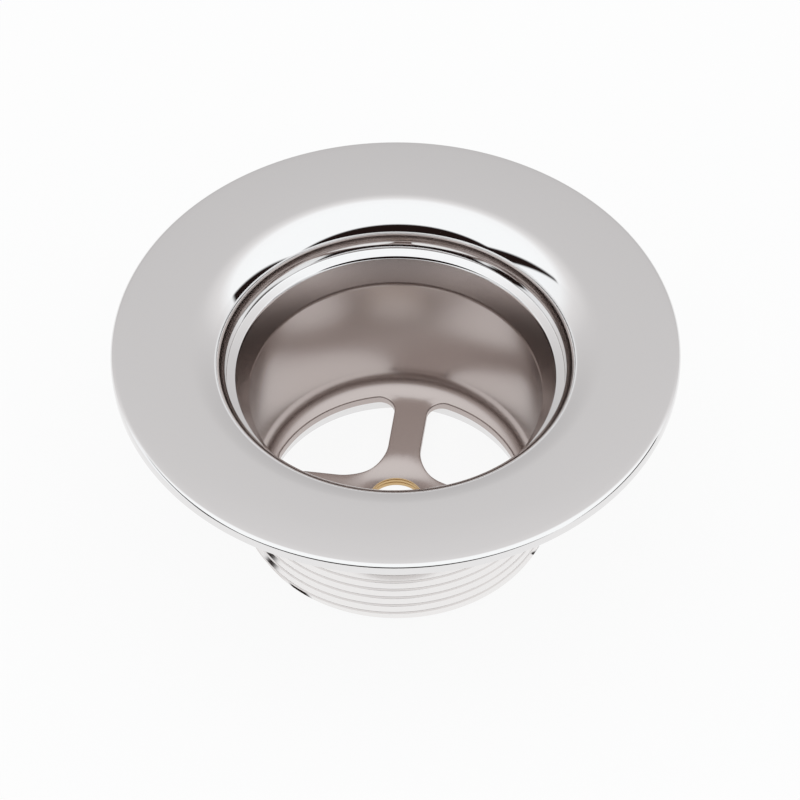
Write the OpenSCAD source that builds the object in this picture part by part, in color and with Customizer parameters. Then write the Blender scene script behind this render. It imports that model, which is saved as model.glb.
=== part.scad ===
// Bath strainer: a flanged waste body in one piece, threaded outside its tail,
// with a crossed floor that keeps hair and cloths out of the drain.
// The origin is on the axis at the tail's end, with the flange on top.

/* [Flange] */
// Diameter of the flange
flange_d = 73; // [66:0.5:90]
// Height of the flange's outer edge
edge_h = 1.6; // [1.2:0.1:2.2]
// Radius on the upper corner of that edge
edge_r = 0.6; // [0.2:0.1:1]
// Rise of the crowned face from the edge to the lip
face_rise = 0.3; // [0.1:0.05:0.8]

/* [Throat] */
// Inside diameter of the polished throat, under the lip
throat_d = 43.6; // [42:0.2:48]
// Radius of the rolled lip between the face and the throat
lip_r = 4.8; // [3.6:0.1:6.4]
// Wall of the rolled lip
lip_wall = 1.9; // [1.5:0.1:2.6]
// Height of the straight land under the lip
land_h = 0.7; // [0.3:0.1:2]
// Width of the seat that a stopper closes on
seat_w = 1.1; // [0.6:0.1:1.6]
// Fall of the seat towards the bore
seat_fall = 0.25; // [0.1:0.05:0.6]
// Height of the cone that leads from the seat into the bore
cone_h = 3.55; // [2:0.05:6]

/* [Tail] */
// Height from the tail's end to the upper corner of the flange's edge
body_h = 31.9; // [26:0.5:60]
// Outside diameter over the thread's crests
tail_d = 41.2; // [40.8:0.1:44]
// Bore of the tail
bore_d = 37.8; // [35:0.2:38.4]
// Height of the cone outside, between the tail and the lip's wall
neck_h = 4.4; // [2:0.1:8]
// Threads to the inch
threads_per_inch = 16; // [11:1:20]
// Depth of the thread
thread_depth = 0.75; // [0.4:0.05:0.8]
// Width of the flat on each crest
crest_w = 0.4; // [0.2:0.05:0.5]
// Plain stretch between the thread and the neck
run_out = 1.3; // [0.5:0.1:4]
// Bevel that leads the nut on to the thread
lead_bevel = 1.85; // [0.8:0.05:2.2]

/* [Crossed floor] */
// Height of the floor's upper face above the tail's end
floor_top = 2.7; // [2:0.1:6]
// Thickness of the floor
floor_t = 0.9; // [0.6:0.1:1.6]
// Radius between the floor and the bore
foot_r = 3.2; // [1:0.1:4]
// Width of the ring left standing under the floor
end_ring_w = 1.6; // [1.2:0.1:2.4]
// Number of spokes
spoke_count = 4; // [3:1:6]
// Width of each spoke
spoke_w = 4.4; // [3:0.1:6]
// Diameter across the openings
openings_d = 33.6; // [30:0.2:34]
// Corner radius of an opening beside the hub
hub_corner_r = 6; // [1.5:0.1:6.4]
// Corner radius of an opening beside the bore
rim_corner_r = 2; // [0.8:0.1:3]

/* [Hub] */
// Tapped hole, measured over the tips of its thread
hub_hole_d = 7.2; // [5:0.1:8]
// Outside diameter of the neck round the hole
hub_neck_d = 10.4; // [9.2:0.1:11]
// Diameter at which the spokes start to roll down to the hole
funnel_d = 14; // [12:0.2:15]
// Radius of that roll
funnel_r = 5.2; // [4.6:0.1:9]

/* [Hidden] */
inch = 25.4;
flank_angle = 30;
overlap = 0.2;
circle_steps = 180;
face_steps = 1440;
bright_plate = [0.80, 0.79, 0.79];

flange_r = flange_d / 2;
throat_r = throat_d / 2;
tail_r = tail_d / 2;
bore_r = bore_d / 2;
openings_r = openings_d / 2;
hub_hole_r = hub_hole_d / 2;
hub_neck_r = hub_neck_d / 2;
funnel_start_r = funnel_d / 2;

// Levels of the flange and the throat, from the face down
face_top = body_h + face_rise;
flange_under = body_h - edge_h;
lip_axis_r = throat_r + lip_r;
lip_axis_z = face_top - lip_r;
seat_top = lip_axis_z - land_h;
seat_inner_r = throat_r - seat_w;
cone_top = seat_top - seat_fall;
cone_foot = cone_top - cone_h;

// The face is a shallow arc that leaves the lip level
face_w = flange_r - edge_r - lip_axis_r;
face_arc_r = (face_w * face_w + face_rise * face_rise) / (2 * face_rise);

// Levels of the tail's outside, and the thread cut in it
neck_r = throat_r + lip_wall;
neck_top = seat_top;
neck_foot = neck_top - neck_h;
pitch = inch / threads_per_inch;
groove_half = (pitch - crest_w) / 2;
root_half = groove_half - thread_depth * tan(flank_angle);
first_groove = lead_bevel + pitch / 2;
groove_count = floor((neck_foot - run_out - lead_bevel) / pitch);

// Levels and radii of the floor
floor_under = floor_top - floor_t;
foot_axis_r = bore_r - foot_r;
end_ring_r = tail_r - lead_bevel - end_ring_w;

// What a quarter circle leaves of its square, with the circle's centre at the origin
module corner(r) {
    difference() {
        square(r + overlap);
        circle(r, $fn = circle_steps);
    }
}

// Half section of the crowned flange, outside the lip
module flange_section() {
    difference() {
        intersection() {
            translate([lip_axis_r, flange_under])
                square([flange_r - lip_axis_r, face_top - flange_under]);
            translate([lip_axis_r, face_top - face_arc_r])
                circle(face_arc_r, $fn = face_steps);
        }
        translate([flange_r - edge_r, body_h - edge_r])
            corner(edge_r);
    }
}

// Half section of the lip that rolls from the face down into the throat
module lip_section() {
    intersection() {
        translate([throat_r, lip_axis_z])
            square([lip_r, lip_r]);
        translate([lip_axis_r, lip_axis_z])
            difference() {
                circle(lip_r, $fn = circle_steps);
                circle(lip_r - lip_wall, $fn = circle_steps);
            }
    }
}

// Half section that joins the lip's underside to the flange's
module lip_web_section() {
    difference() {
        translate([neck_r, lip_axis_z])
            square([lip_r - lip_wall, flange_under - lip_axis_z]);
        translate([lip_axis_r, lip_axis_z])
            circle(lip_r - lip_wall, $fn = circle_steps);
    }
}

// Half section of the wall: land, seat, cone and bore inside, neck and tail outside
module wall_section() {
    polygon([
        [throat_r, lip_axis_z],
        [throat_r, seat_top],
        [seat_inner_r, cone_top],
        [bore_r, cone_foot],
        [bore_r, floor_top],
        [end_ring_r, floor_top],
        [end_ring_r, 0],
        [tail_r - lead_bevel, 0],
        [tail_r, lead_bevel],
        [tail_r, neck_foot],
        [neck_r, neck_top],
        [neck_r, lip_axis_z]
    ]);
}

// One groove of the thread, across the tail's surface
module groove_section() {
    flare = overlap * tan(flank_angle);
    polygon([
        [tail_r - thread_depth, -root_half],
        [tail_r + overlap, -groove_half - flare],
        [tail_r + overlap, groove_half + flare],
        [tail_r - thread_depth, root_half]
    ]);
}

// Half section of the floor, with the fillet at the bore and the neck round the hole
module floor_section() {
    difference() {
        union() {
            translate([0, floor_under])
                square([bore_r, floor_t]);
            square([hub_neck_r, floor_top]);
            translate([foot_axis_r, floor_top])
                square([foot_r, foot_r]);
        }
        translate([foot_axis_r, floor_top + foot_r])
            circle(foot_r, $fn = circle_steps);
        funnel_cut();
        translate([0, -overlap])
            square([hub_hole_r, floor_top + 2 * overlap]);
    }
}

// Space over the hub, where the spokes roll down to the hole
module funnel_cut() {
    difference() {
        square([funnel_start_r, floor_top + overlap]);
        translate([funnel_start_r, floor_top - funnel_r])
            circle(funnel_r, $fn = circle_steps);
    }
}

// Half section of the whole body
module body_section() {
    difference() {
        union() {
            flange_section();
            lip_section();
            lip_web_section();
            wall_section();
            floor_section();
        }
        for (turn = [0 : groove_count - 1])
            translate([0, first_groove + turn * pitch])
                groove_section();
    }
}

// Plan of one opening of the floor, with its middle along +X
module opening_plan() {
    half_angle = 180 / spoke_count;
    tip = spoke_w / 2 / sin(half_angle);
    reach = openings_r / cos(half_angle) + overlap;
    difference() {
        intersection() {
            polygon([
                [tip, 0],
                [tip + reach * cos(half_angle), -reach * sin(half_angle)],
                [tip + reach * cos(half_angle), reach * sin(half_angle)]
            ]);
            circle(openings_r, $fn = circle_steps);
        }
        hub_corner(half_angle);
        for (side = [0, 1])
            mirror([0, side])
                rim_corner(half_angle);
    }
}

// Rounds the corner of an opening beside the hub
module hub_corner(half_angle) {
    tip = spoke_w / 2 / sin(half_angle);
    axis = (spoke_w / 2 + hub_corner_r) / sin(half_angle);
    along = hub_corner_r / tan(half_angle);
    touch = [tip + along * cos(half_angle), along * sin(half_angle)];
    difference() {
        polygon([[tip - overlap, 0], [touch.x, -touch.y], [axis, 0], touch]);
        translate([axis, 0])
            circle(hub_corner_r, $fn = circle_steps);
    }
}

// Rounds the corner of an opening where a spoke meets the bore's ring
module rim_corner(half_angle) {
    across = spoke_w / 2 + rim_corner_r;
    radial = openings_r - rim_corner_r;
    along = sqrt(radial * radial - across * across);
    rotate(half_angle)
        difference() {
            polygon([
                [along, -spoke_w / 2 + overlap],
                [along, -across],
                [along * 1.2, -across * 1.2],
                [openings_r * 1.2, -spoke_w / 2 + overlap]
            ]);
            translate([along, -across])
                circle(rim_corner_r, $fn = circle_steps);
        }
}

// The strainer, turned from its section, with the openings cut through its floor
module strainer_body() {
    color(bright_plate)
        difference() {
            rotate_extrude($fn = circle_steps)
                body_section();
            for (quarter = [0 : spoke_count - 1])
                rotate((quarter + 0.5) * 360 / spoke_count)
                    translate([0, 0, -overlap])
                        linear_extrude(floor_top + foot_r)
                            opening_plan();
        }
}

strainer_body();
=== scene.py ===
import math

import bmesh
import bpy
from mathutils import Matrix, Vector


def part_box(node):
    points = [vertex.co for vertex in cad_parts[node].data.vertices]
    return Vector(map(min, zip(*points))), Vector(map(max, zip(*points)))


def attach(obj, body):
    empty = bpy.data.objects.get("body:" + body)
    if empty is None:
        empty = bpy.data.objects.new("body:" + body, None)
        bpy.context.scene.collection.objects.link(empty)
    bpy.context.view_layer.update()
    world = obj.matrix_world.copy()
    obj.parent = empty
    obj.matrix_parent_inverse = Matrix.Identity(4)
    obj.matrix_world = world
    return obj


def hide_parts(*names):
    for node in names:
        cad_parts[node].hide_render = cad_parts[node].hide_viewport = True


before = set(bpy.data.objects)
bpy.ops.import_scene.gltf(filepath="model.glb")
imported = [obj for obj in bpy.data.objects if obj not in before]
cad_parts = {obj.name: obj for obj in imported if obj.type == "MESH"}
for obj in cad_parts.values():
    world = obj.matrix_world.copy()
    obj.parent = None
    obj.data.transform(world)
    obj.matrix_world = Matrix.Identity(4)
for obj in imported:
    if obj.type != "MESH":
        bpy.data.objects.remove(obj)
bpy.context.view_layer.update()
MM = 0.001

# The strainer is one casting, turned, threaded and plated all over. Its flange, rolled lip,
# throat and tail are bodies of revolution, so each stretch of the section is drawn and spun.
low_corner, high_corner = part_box("strainer_body")
flange_r = (high_corner.x - low_corner.x) / 2
face_top = high_corner.z
face_rise = 0.3 * MM
body_h = face_top - face_rise
edge_h = 1.6 * MM
edge_r = 0.6 * MM
throat_r = 21.8 * MM
lip_r = 4.8 * MM
lip_wall = 1.9 * MM
land_h = 0.7 * MM
seat_w = 1.1 * MM
seat_fall = 0.25 * MM
cone_h = 3.55 * MM
bore_r = 18.9 * MM
tail_r = 20.6 * MM
neck_h = 4.4 * MM
run_out = 1.3 * MM
broken_edge = 0.15 * MM

lip_axis_r = throat_r + lip_r
lip_axis_z = face_top - lip_r
flange_under = body_h - edge_h
seat_top = lip_axis_z - land_h
seat_inner_r = throat_r - seat_w
cone_top = seat_top - seat_fall
neck_r = throat_r + lip_wall
neck_foot = seat_top - neck_h
thread_top = neck_foot - run_out

TURN_STEPS = 192
BRIGHT, SATIN, THREADED, BARE = range(4)
body = bmesh.new()


def arc(centre_a, centre_b, radius, start, end, steps):
    """Points of a round stretch of an outline, between two angles in degrees."""
    angles = [math.radians(start + (end - start) * i / steps) for i in range(steps + 1)]
    return [(centre_a + radius * math.cos(a), centre_b + radius * math.sin(a)) for a in angles]


def draw_section(points, segments=4):
    """Draws a section in the XZ plane. A point with a third value is a corner of that radius."""
    section = bmesh.new()
    verts = [section.verts.new((p[0], 0, p[1])) for p in points]
    for pair in zip(verts, verts[1:]):
        section.edges.new(pair)
    for vert, radius in [(v, p[2]) for v, p in zip(verts, points) if len(p) > 2]:
        arms = [edge.other_vert(vert).co - vert.co for edge in vert.link_edges]
        turn = math.pi - arms[0].angle(arms[1])
        bmesh.ops.bevel(section, geom=[vert], offset=radius * math.tan(turn / 2),
                        segments=segments, profile=0.5, affect="VERTICES", material=-1)
    return section


def add_to_body(stretch, finish):
    """Gives a stretch of the surface its finish and adds it to the body."""
    for face in stretch.faces:
        face.material_index = finish
    carrier = bpy.data.meshes.new("stretch")
    stretch.to_mesh(carrier)
    stretch.free()
    body.from_mesh(carrier)
    bpy.data.meshes.remove(carrier)


def turn_section(points, finish):
    """Spins a section once round the axis into a stretch of the body's surface."""
    section = draw_section(points)
    bmesh.ops.spin(section, geom=section.verts[:] + section.edges[:], cent=(0, 0, 0),
                   axis=(0, 0, 1), angle=math.tau, steps=TURN_STEPS, use_merge=True)
    add_to_body(section, finish)


# The crowned face leaves the lip level and falls a little to the rounded edge. The lip rolls
# down to the land and to the narrow seat that a stopper closes on.
face_w = flange_r - edge_r - lip_axis_r
crown_steps = 12
crown = [(lip_axis_r + face_w * i / crown_steps, face_top - face_rise * (i / crown_steps) ** 2)
         for i in range(1, crown_steps + 1)]
bright_share = 0.1
cone_join = (seat_inner_r + (bore_r - seat_inner_r) * bright_share, cone_top - cone_h * bright_share)
turn_section([
    cone_join,
    (seat_inner_r, cone_top, broken_edge),
    (throat_r, seat_top, broken_edge),
    *arc(lip_axis_r, lip_axis_z, lip_r, 180, 90, 32),
    *crown,
    *arc(flange_r - edge_r, body_h - edge_r, edge_r, 90, 0, 6)[1:],
    (flange_r, flange_under, broken_edge),
    *arc(lip_axis_r, lip_axis_z, lip_r - lip_wall, 90, 180, 8),
    (neck_r, seat_top, 0.5 * MM),
    (tail_r, neck_foot, 0.5 * MM),
    (tail_r, thread_top),
], BRIGHT)

# Inside, a cone leads from the seat into the bore, which rounds into the floor. The floor
# reaches the bore at a circle part of the way up that round foot.
floor_top = 2.7 * MM
floor_t = 0.9 * MM
foot_r = 3.2 * MM
foot_axis_r = bore_r - foot_r
foot_share = 0.44
foot_join = arc(foot_axis_r, floor_top + foot_r, foot_r, -90 + 90 * foot_share, 0, 10)
floor_edge_r = foot_join[0][0]
turn_section([
    *foot_join,
    (bore_r, cone_top - cone_h, 1.5 * MM),
    cone_join,
], SATIN)

# The tail's end: a ring stands under the floor, with a long bevel that leads the nut on.
lead_bevel = 1.85 * MM
end_ring_w = 1.6 * MM
thread_depth = 0.75 * MM
end_ring_r = tail_r - lead_bevel - end_ring_w
floor_under = floor_top - floor_t
thread_foot = lead_bevel - thread_depth
turn_section([
    (tail_r - thread_depth, thread_foot),
    (tail_r - lead_bevel, 0, broken_edge),
    (end_ring_r, 0, broken_edge),
    (end_ring_r, floor_under),
], BRIGHT)

# The tail's thread is cut right-handed, 16 to the inch. Its section rises one pitch in a turn,
# and what goes past the plain ends is brought back on to them.
pitch = 25.4 * MM / 16
crest_w = 0.4 * MM
crest_round = 0.08 * MM
root_round = 0.12 * MM
crest_start = 0.62 * MM
groove_half = (pitch - crest_w) / 2
root_half = groove_half - thread_depth * math.tan(math.radians(30))
thread_turns = round((thread_top - thread_foot) / pitch) + 3
thread_points = []
for turn in range(thread_turns):
    groove = thread_foot - 2 * pitch + crest_start + (turn + 0.5) * pitch
    thread_points += [
        (tail_r, groove - groove_half, crest_round),
        (tail_r - thread_depth, groove - root_half, root_round),
        (tail_r - thread_depth, groove + root_half, root_round),
        (tail_r, groove + groove_half, crest_round),
    ]
thread_points[0] = thread_points[0][:2]
thread_points[-1] = thread_points[-1][:2]
thread = draw_section(thread_points, segments=2)
bmesh.ops.spin(thread, geom=thread.verts[:] + thread.edges[:], cent=(0, 0, 0), axis=(0, 0, 1),
               dvec=(0, 0, pitch / TURN_STEPS), angle=math.tau, steps=TURN_STEPS)
fade = 0.8 * pitch
for vert in thread.verts:
    z = min(max(vert.co.z, thread_foot), thread_top)
    depth = (tail_r - vert.co.xy.length) * min(1, (thread_top - z) / fade)
    out = min(tail_r - depth, tail_r - lead_bevel + z)
    vert.co = Vector((*(vert.co.xy.normalized() * out), z))
add_to_body(thread, THREADED)

# The crossed floor is part of the same casting: four spokes between four openings with round
# corners, which pass the water and hold back hair and cloths.
spoke_w = 4.4 * MM
openings_r = 16.8 * MM
hub_corner_r = 6 * MM
rim_corner_r = 2 * MM
funnel_start_r = 7 * MM
funnel_r = 5.2 * MM
hub_hole_r = 3.6 * MM
hub_neck_r = 5.2 * MM
hub_edge_r = 4.6 * MM
opening_round = 0.25 * MM
side = spoke_w / 2
hub_c = side + hub_corner_r
rim_c = side + rim_corner_r
rim_along = math.sqrt((openings_r - rim_corner_r) ** 2 - rim_c ** 2)
rim_turn = math.degrees(math.atan2(rim_along, rim_c))
QUARTER = TURN_STEPS // 4
CORNER, STRAIGHT = 16, 12


def straight(start, end, steps):
    """Points of a straight stretch of an outline."""
    return [tuple(Vector(start).lerp(Vector(end), i / steps)) for i in range(steps + 1)]


def border(inner, outer):
    """The edge of a quarter of the floor, point for point with the opening's outline."""
    down_side = STRAIGHT + CORNER // 2
    return [
        *arc(0, 0, inner, 0, 90, QUARTER),
        *straight((0, inner), (0, outer), down_side)[1:],
        *arc(0, 0, outer, 90, 0, QUARTER)[1:],
        *straight((outer, 0), (inner, 0), down_side)[1:-1],
    ]


def floor_height(radius):
    """Height of the floor's upper face, which rolls down at the hub and up at the bore."""
    if radius < funnel_start_r:
        return floor_top - funnel_r + math.sqrt(funnel_r ** 2 - (funnel_start_r - radius) ** 2)
    if radius > foot_axis_r:
        return floor_top + foot_r - math.sqrt(foot_r ** 2 - (radius - foot_axis_r) ** 2)
    return floor_top


def grow(ring, start, end, shares, height):
    """Extrudes a ring of edges from one outline to another, in rows."""
    for share in shares:
        grown = bmesh.ops.extrude_edge_only(cross, edges=ring)["geom"]
        ring = [g for g in grown if isinstance(g, bmesh.types.BMEdge)
                and all(v in grown for v in g.verts)]
        for vert in {v for edge in ring for v in edge.verts}:
            spot = vert[outline_spot]
            plan = Vector(start[spot]).lerp(Vector(end[spot]), share)
            vert.co = Vector((*plan, height(plan.length)))
    return ring


opening = [
    *arc(hub_c, hub_c, hub_corner_r, 270, 180, QUARTER),
    *straight((side, hub_c), (side, rim_along), STRAIGHT)[1:],
    *arc(rim_c, rim_along, rim_corner_r, 180, rim_turn, CORNER)[1:],
    *arc(0, 0, openings_r, rim_turn, 90 - rim_turn, QUARTER - CORNER)[1:],
    *arc(rim_along, rim_c, rim_corner_r, 90 - rim_turn, -90, CORNER)[1:],
    *straight((rim_along, side), (hub_c, side), STRAIGHT)[1:-1],
]
cross = bmesh.new()
outline_spot = cross.verts.layers.int.new("outline_spot")
rim = []
for spot, (x, y) in enumerate(opening):
    rim.append(cross.verts.new((x, y, floor_height(math.hypot(x, y)))))
    rim[-1][outline_spot] = spot
top_ring = [cross.edges.new(pair) for pair in zip(rim, rim[1:] + rim[:1])]
grow(top_ring, opening, border(hub_edge_r, floor_edge_r), (0.4, 0.6, 0.8, 1), floor_height)
under_ring = grow(top_ring, opening, opening, (1,), lambda radius: floor_under)
grow(under_ring, opening, border(hub_neck_r, end_ring_r), (0.4, 0.7, 1), lambda radius: floor_under)
bmesh.ops.bevel(cross, geom=top_ring, offset=opening_round, segments=3, profile=0.5,
                affect="EDGES", material=-1)
bmesh.ops.spin(cross, geom=cross.verts[:] + cross.edges[:] + cross.faces[:], cent=(0, 0, 0),
               axis=(0, 0, 1), angle=math.tau * 3 / 4, steps=3, use_duplicate=True)
add_to_body(cross, SATIN)

# The hub is the middle of the floor. It rolls down to a tapped hole for a stopper's screw,
# whose thread is bare brass where the tap cut through the casting's skin.
hub_pitch = 0.9 * MM
hub_thread = 0.35 * MM
hole_top = floor_height(hub_hole_r)
roll = math.degrees(math.asin((funnel_start_r - hub_edge_r) / funnel_r))
roll_end = math.degrees(math.asin((funnel_start_r - hub_hole_r) / funnel_r))
turn_section(arc(funnel_start_r, floor_top - funnel_r, funnel_r, 90 + roll, 90 + roll_end, 6), SATIN)
turn_section([
    (hub_hole_r, hole_top),
    (hub_hole_r, hole_top - 0.2 * MM),
    (hub_hole_r + hub_thread, hole_top - 0.4 * MM),
    (hub_hole_r, hole_top - 0.6 * MM),
    (hub_hole_r, hole_top - 0.75 * MM),
    (hub_hole_r + hub_thread, hole_top - 0.95 * MM),
    (hub_hole_r, hole_top - 1.15 * MM),
    (hub_hole_r, 0),
], BARE)
turn_section([
    (hub_hole_r, 0),
    (hub_neck_r, 0, broken_edge),
    (hub_neck_r, floor_under),
], BRIGHT)

bmesh.ops.remove_doubles(body, verts=body.verts, dist=0.003 * MM)
bmesh.ops.recalc_face_normals(body, faces=body.faces)
for face in body.faces:
    face.smooth = True
open_edges = sum(1 for edge in body.edges if not edge.is_manifold)
print("open edges", open_edges, "triangles", sum(len(f.verts) - 2 for f in body.faces))
mesh = bpy.data.meshes.new("strainer")
body.to_mesh(mesh)
body.free()
mesh.set_sharp_from_angle(angle=math.radians(38))
strainer = bpy.data.objects.new("strainer", mesh)
bpy.context.scene.collection.objects.link(strainer)


def new_material(name, color, roughness):
    material = bpy.data.materials.new(name)
    material.use_nodes = True
    shader = material.node_tree.nodes["Principled BSDF"]
    shader.inputs["Base Color"].default_value = (*color, 1)
    shader.inputs["Metallic"].default_value = 1
    shader.inputs["Roughness"].default_value = roughness
    mesh.materials.append(material)
    return material, shader


new_material("bright_plating", (0.80, 0.79, 0.79), 0.04)
new_material("satin_plating", (0.50, 0.44, 0.42), 0.25)
new_material("thread_plating", (0.72, 0.69, 0.68), 0.08)
new_material("bare_brass", (0.60, 0.42, 0.22), 0.3)
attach(strainer, "root")
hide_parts("strainer_body")

# The camera stands where the photograph was taken from, a little to one side of a spoke.
camera_elevation = math.radians(48.975)
camera_azimuth = math.radians(8)
camera_roll = math.radians(-0.129)
camera_distance = 0.657
look_at = Vector((0.548 * MM, -9.167 * MM, body_h))
camera_data = bpy.data.cameras.new("camera")
camera_data.lens = 233.09
camera_data.sensor_width = 36
camera = bpy.data.objects.new("camera", camera_data)
bpy.context.scene.collection.objects.link(camera)
aim = Matrix.Rotation(math.pi / 2 - camera_elevation, 4, "X") @ Matrix.Rotation(camera_roll, 4, "Z")
place = Matrix.Translation(look_at) @ aim @ Matrix.Translation((0, 0, camera_distance))
camera.matrix_world = Matrix.Rotation(camera_azimuth, 4, "Z") @ place
bpy.context.scene.camera = camera

# The floor is a pale sheet. The camera sees it white, with a part of its own shading kept,
# so that the strainer's shadow stays.
floor_mesh = bmesh.new()
bmesh.ops.create_grid(floor_mesh, x_segments=1, y_segments=1, size=3)
floor_data = bpy.data.meshes.new("floor")
floor_mesh.to_mesh(floor_data)
floor_mesh.free()
floor = bpy.data.objects.new("floor", floor_data)
bpy.context.scene.collection.objects.link(floor)
sheet = bpy.data.materials.new("pale_sheet")
sheet.use_nodes = True
nodes, links = sheet.node_tree.nodes, sheet.node_tree.links
shader = nodes["Principled BSDF"]
shader.inputs["Base Color"].default_value = (0.85, 0.85, 0.85, 1)
shader.inputs["Roughness"].default_value = 0.9
glow = nodes.new("ShaderNodeEmission")
path = nodes.new("ShaderNodeLightPath")
seen = nodes.new("ShaderNodeMath")
seen.operation = "MAXIMUM"
links.new(path.outputs["Is Camera Ray"], seen.inputs[0])
links.new(path.outputs["Is Glossy Ray"], seen.inputs[1])
share = nodes.new("ShaderNodeMath")
share.operation = "MULTIPLY"
share.inputs[1].default_value = 0.9
links.new(seen.outputs[0], share.inputs[0])
mix = nodes.new("ShaderNodeMixShader")
links.new(share.outputs[0], mix.inputs["Fac"])
links.new(shader.outputs[0], mix.inputs[1])
links.new(glow.outputs[0], mix.inputs[2])
links.new(mix.outputs[0], nodes["Material Output"].inputs["Surface"])
floor_data.materials.append(sheet)

# The studio: a broad soft light overhead that ends in front of the strainer, a pale sweep
# behind and beside it, and black cards on the camera's side.
world = bpy.data.worlds.new("studio")
bpy.context.scene.world = world
world.use_nodes = True
nodes, links = world.node_tree.nodes, world.node_tree.links
nodes.clear()
coords = nodes.new("ShaderNodeTexCoord")
turned = nodes.new("ShaderNodeMapping")
turned.inputs["Rotation"].default_value = (0, 0, -camera_azimuth)
links.new(coords.outputs["Generated"], turned.inputs["Vector"])


def studio_edge(normal, offset, softness):
    """A mask of the studio: 1 on the side of a plane that its normal points to."""
    dot = nodes.new("ShaderNodeVectorMath")
    dot.operation = "DOT_PRODUCT"
    dot.inputs[1].default_value = normal
    links.new(turned.outputs["Vector"], dot.inputs[0])
    ramp = nodes.new("ShaderNodeMapRange")
    ramp.interpolation_type = "SMOOTHSTEP"
    ramp.inputs["From Min"].default_value = offset - softness
    ramp.inputs["From Max"].default_value = offset + softness
    links.new(dot.outputs["Value"], ramp.inputs["Value"])
    return ramp.outputs["Result"]


def combine(operation, first, second):
    node = nodes.new("ShaderNodeMath")
    node.operation = operation
    for socket, value in zip(node.inputs, (first, second)):
        if isinstance(value, (int, float)):
            socket.default_value = value
        else:
            links.new(value, socket)
    return node.outputs[0]


near_edge = studio_edge((0.065, 0.744, 0.665), -0.357, 0.04)
left_edge = studio_edge((0.509, -0.414, 0.754), -0.007, 0.04)
right_edge = studio_edge((-0.845, -0.153, 0.512), -0.655, 0.04)
sweep_left = studio_edge((-0.571, 0.637, -0.518), 0.291, 0.03)
sweep_back = studio_edge((0, 1, 0), 0.225, 0.03)
light = combine("MULTIPLY", near_edge, combine("MULTIPLY", left_edge, right_edge))
sweep = combine("MAXIMUM", sweep_left, sweep_back)
split = nodes.new("ShaderNodeSeparateXYZ")
links.new(turned.outputs["Vector"], split.inputs[0])


def colour_ramp(value, stops):
    ramp = nodes.new("ShaderNodeValToRGB")
    while len(ramp.color_ramp.elements) < len(stops):
        ramp.color_ramp.elements.new(1)
    for element, (position, colour) in zip(ramp.color_ramp.elements, stops):
        element.position = position
        element.color = (*colour, 1)
    links.new(value, ramp.inputs[0])
    return ramp.outputs[0]


sweep_colour = colour_ramp(split.outputs["Y"], [
    (0.0, (1.12, 1.15, 1.17)),
    (0.25, (1.08, 1.10, 1.11)),
    (0.42, (0.88, 0.87, 0.87)),
    (0.60, (0.74, 0.73, 0.73)),
    (0.80, (0.66, 0.65, 0.65)),
    (1.0, (0.60, 0.59, 0.59)),
])
light_colour = colour_ramp(split.outputs["Y"], [
    (0.0, (1.16, 1.19, 1.20)),
    (0.25, (1.14, 1.16, 1.17)),
    (0.42, (0.90, 0.89, 0.89)),
    (0.60, (0.74, 0.73, 0.73)),
    (0.80, (0.66, 0.65, 0.65)),
    (1.0, (0.60, 0.59, 0.59)),
])


def mix_colour(factor, first, second):
    node = nodes.new("ShaderNodeMix")
    node.data_type = "RGBA"
    links.new(factor, node.inputs[0])
    for socket, value in zip((node.inputs[6], node.inputs[7]), (first, second)):
        if isinstance(value, tuple):
            socket.default_value = (*value, 1)
        else:
            links.new(value, socket)
    return node.outputs[2]


studio = mix_colour(sweep, (0.016, 0.009, 0.008), sweep_colour)
studio = mix_colour(light, studio, light_colour)
path = nodes.new("ShaderNodeLightPath")
seen = mix_colour(path.outputs["Is Camera Ray"], studio, (1.0, 1.0, 1.0))
sky = nodes.new("ShaderNodeBackground")
links.new(seen, sky.inputs["Color"])
output = nodes.new("ShaderNodeOutputWorld")
links.new(sky.outputs[0], output.inputs["Surface"])

bpy.context.scene.view_settings.view_transform = "Standard"
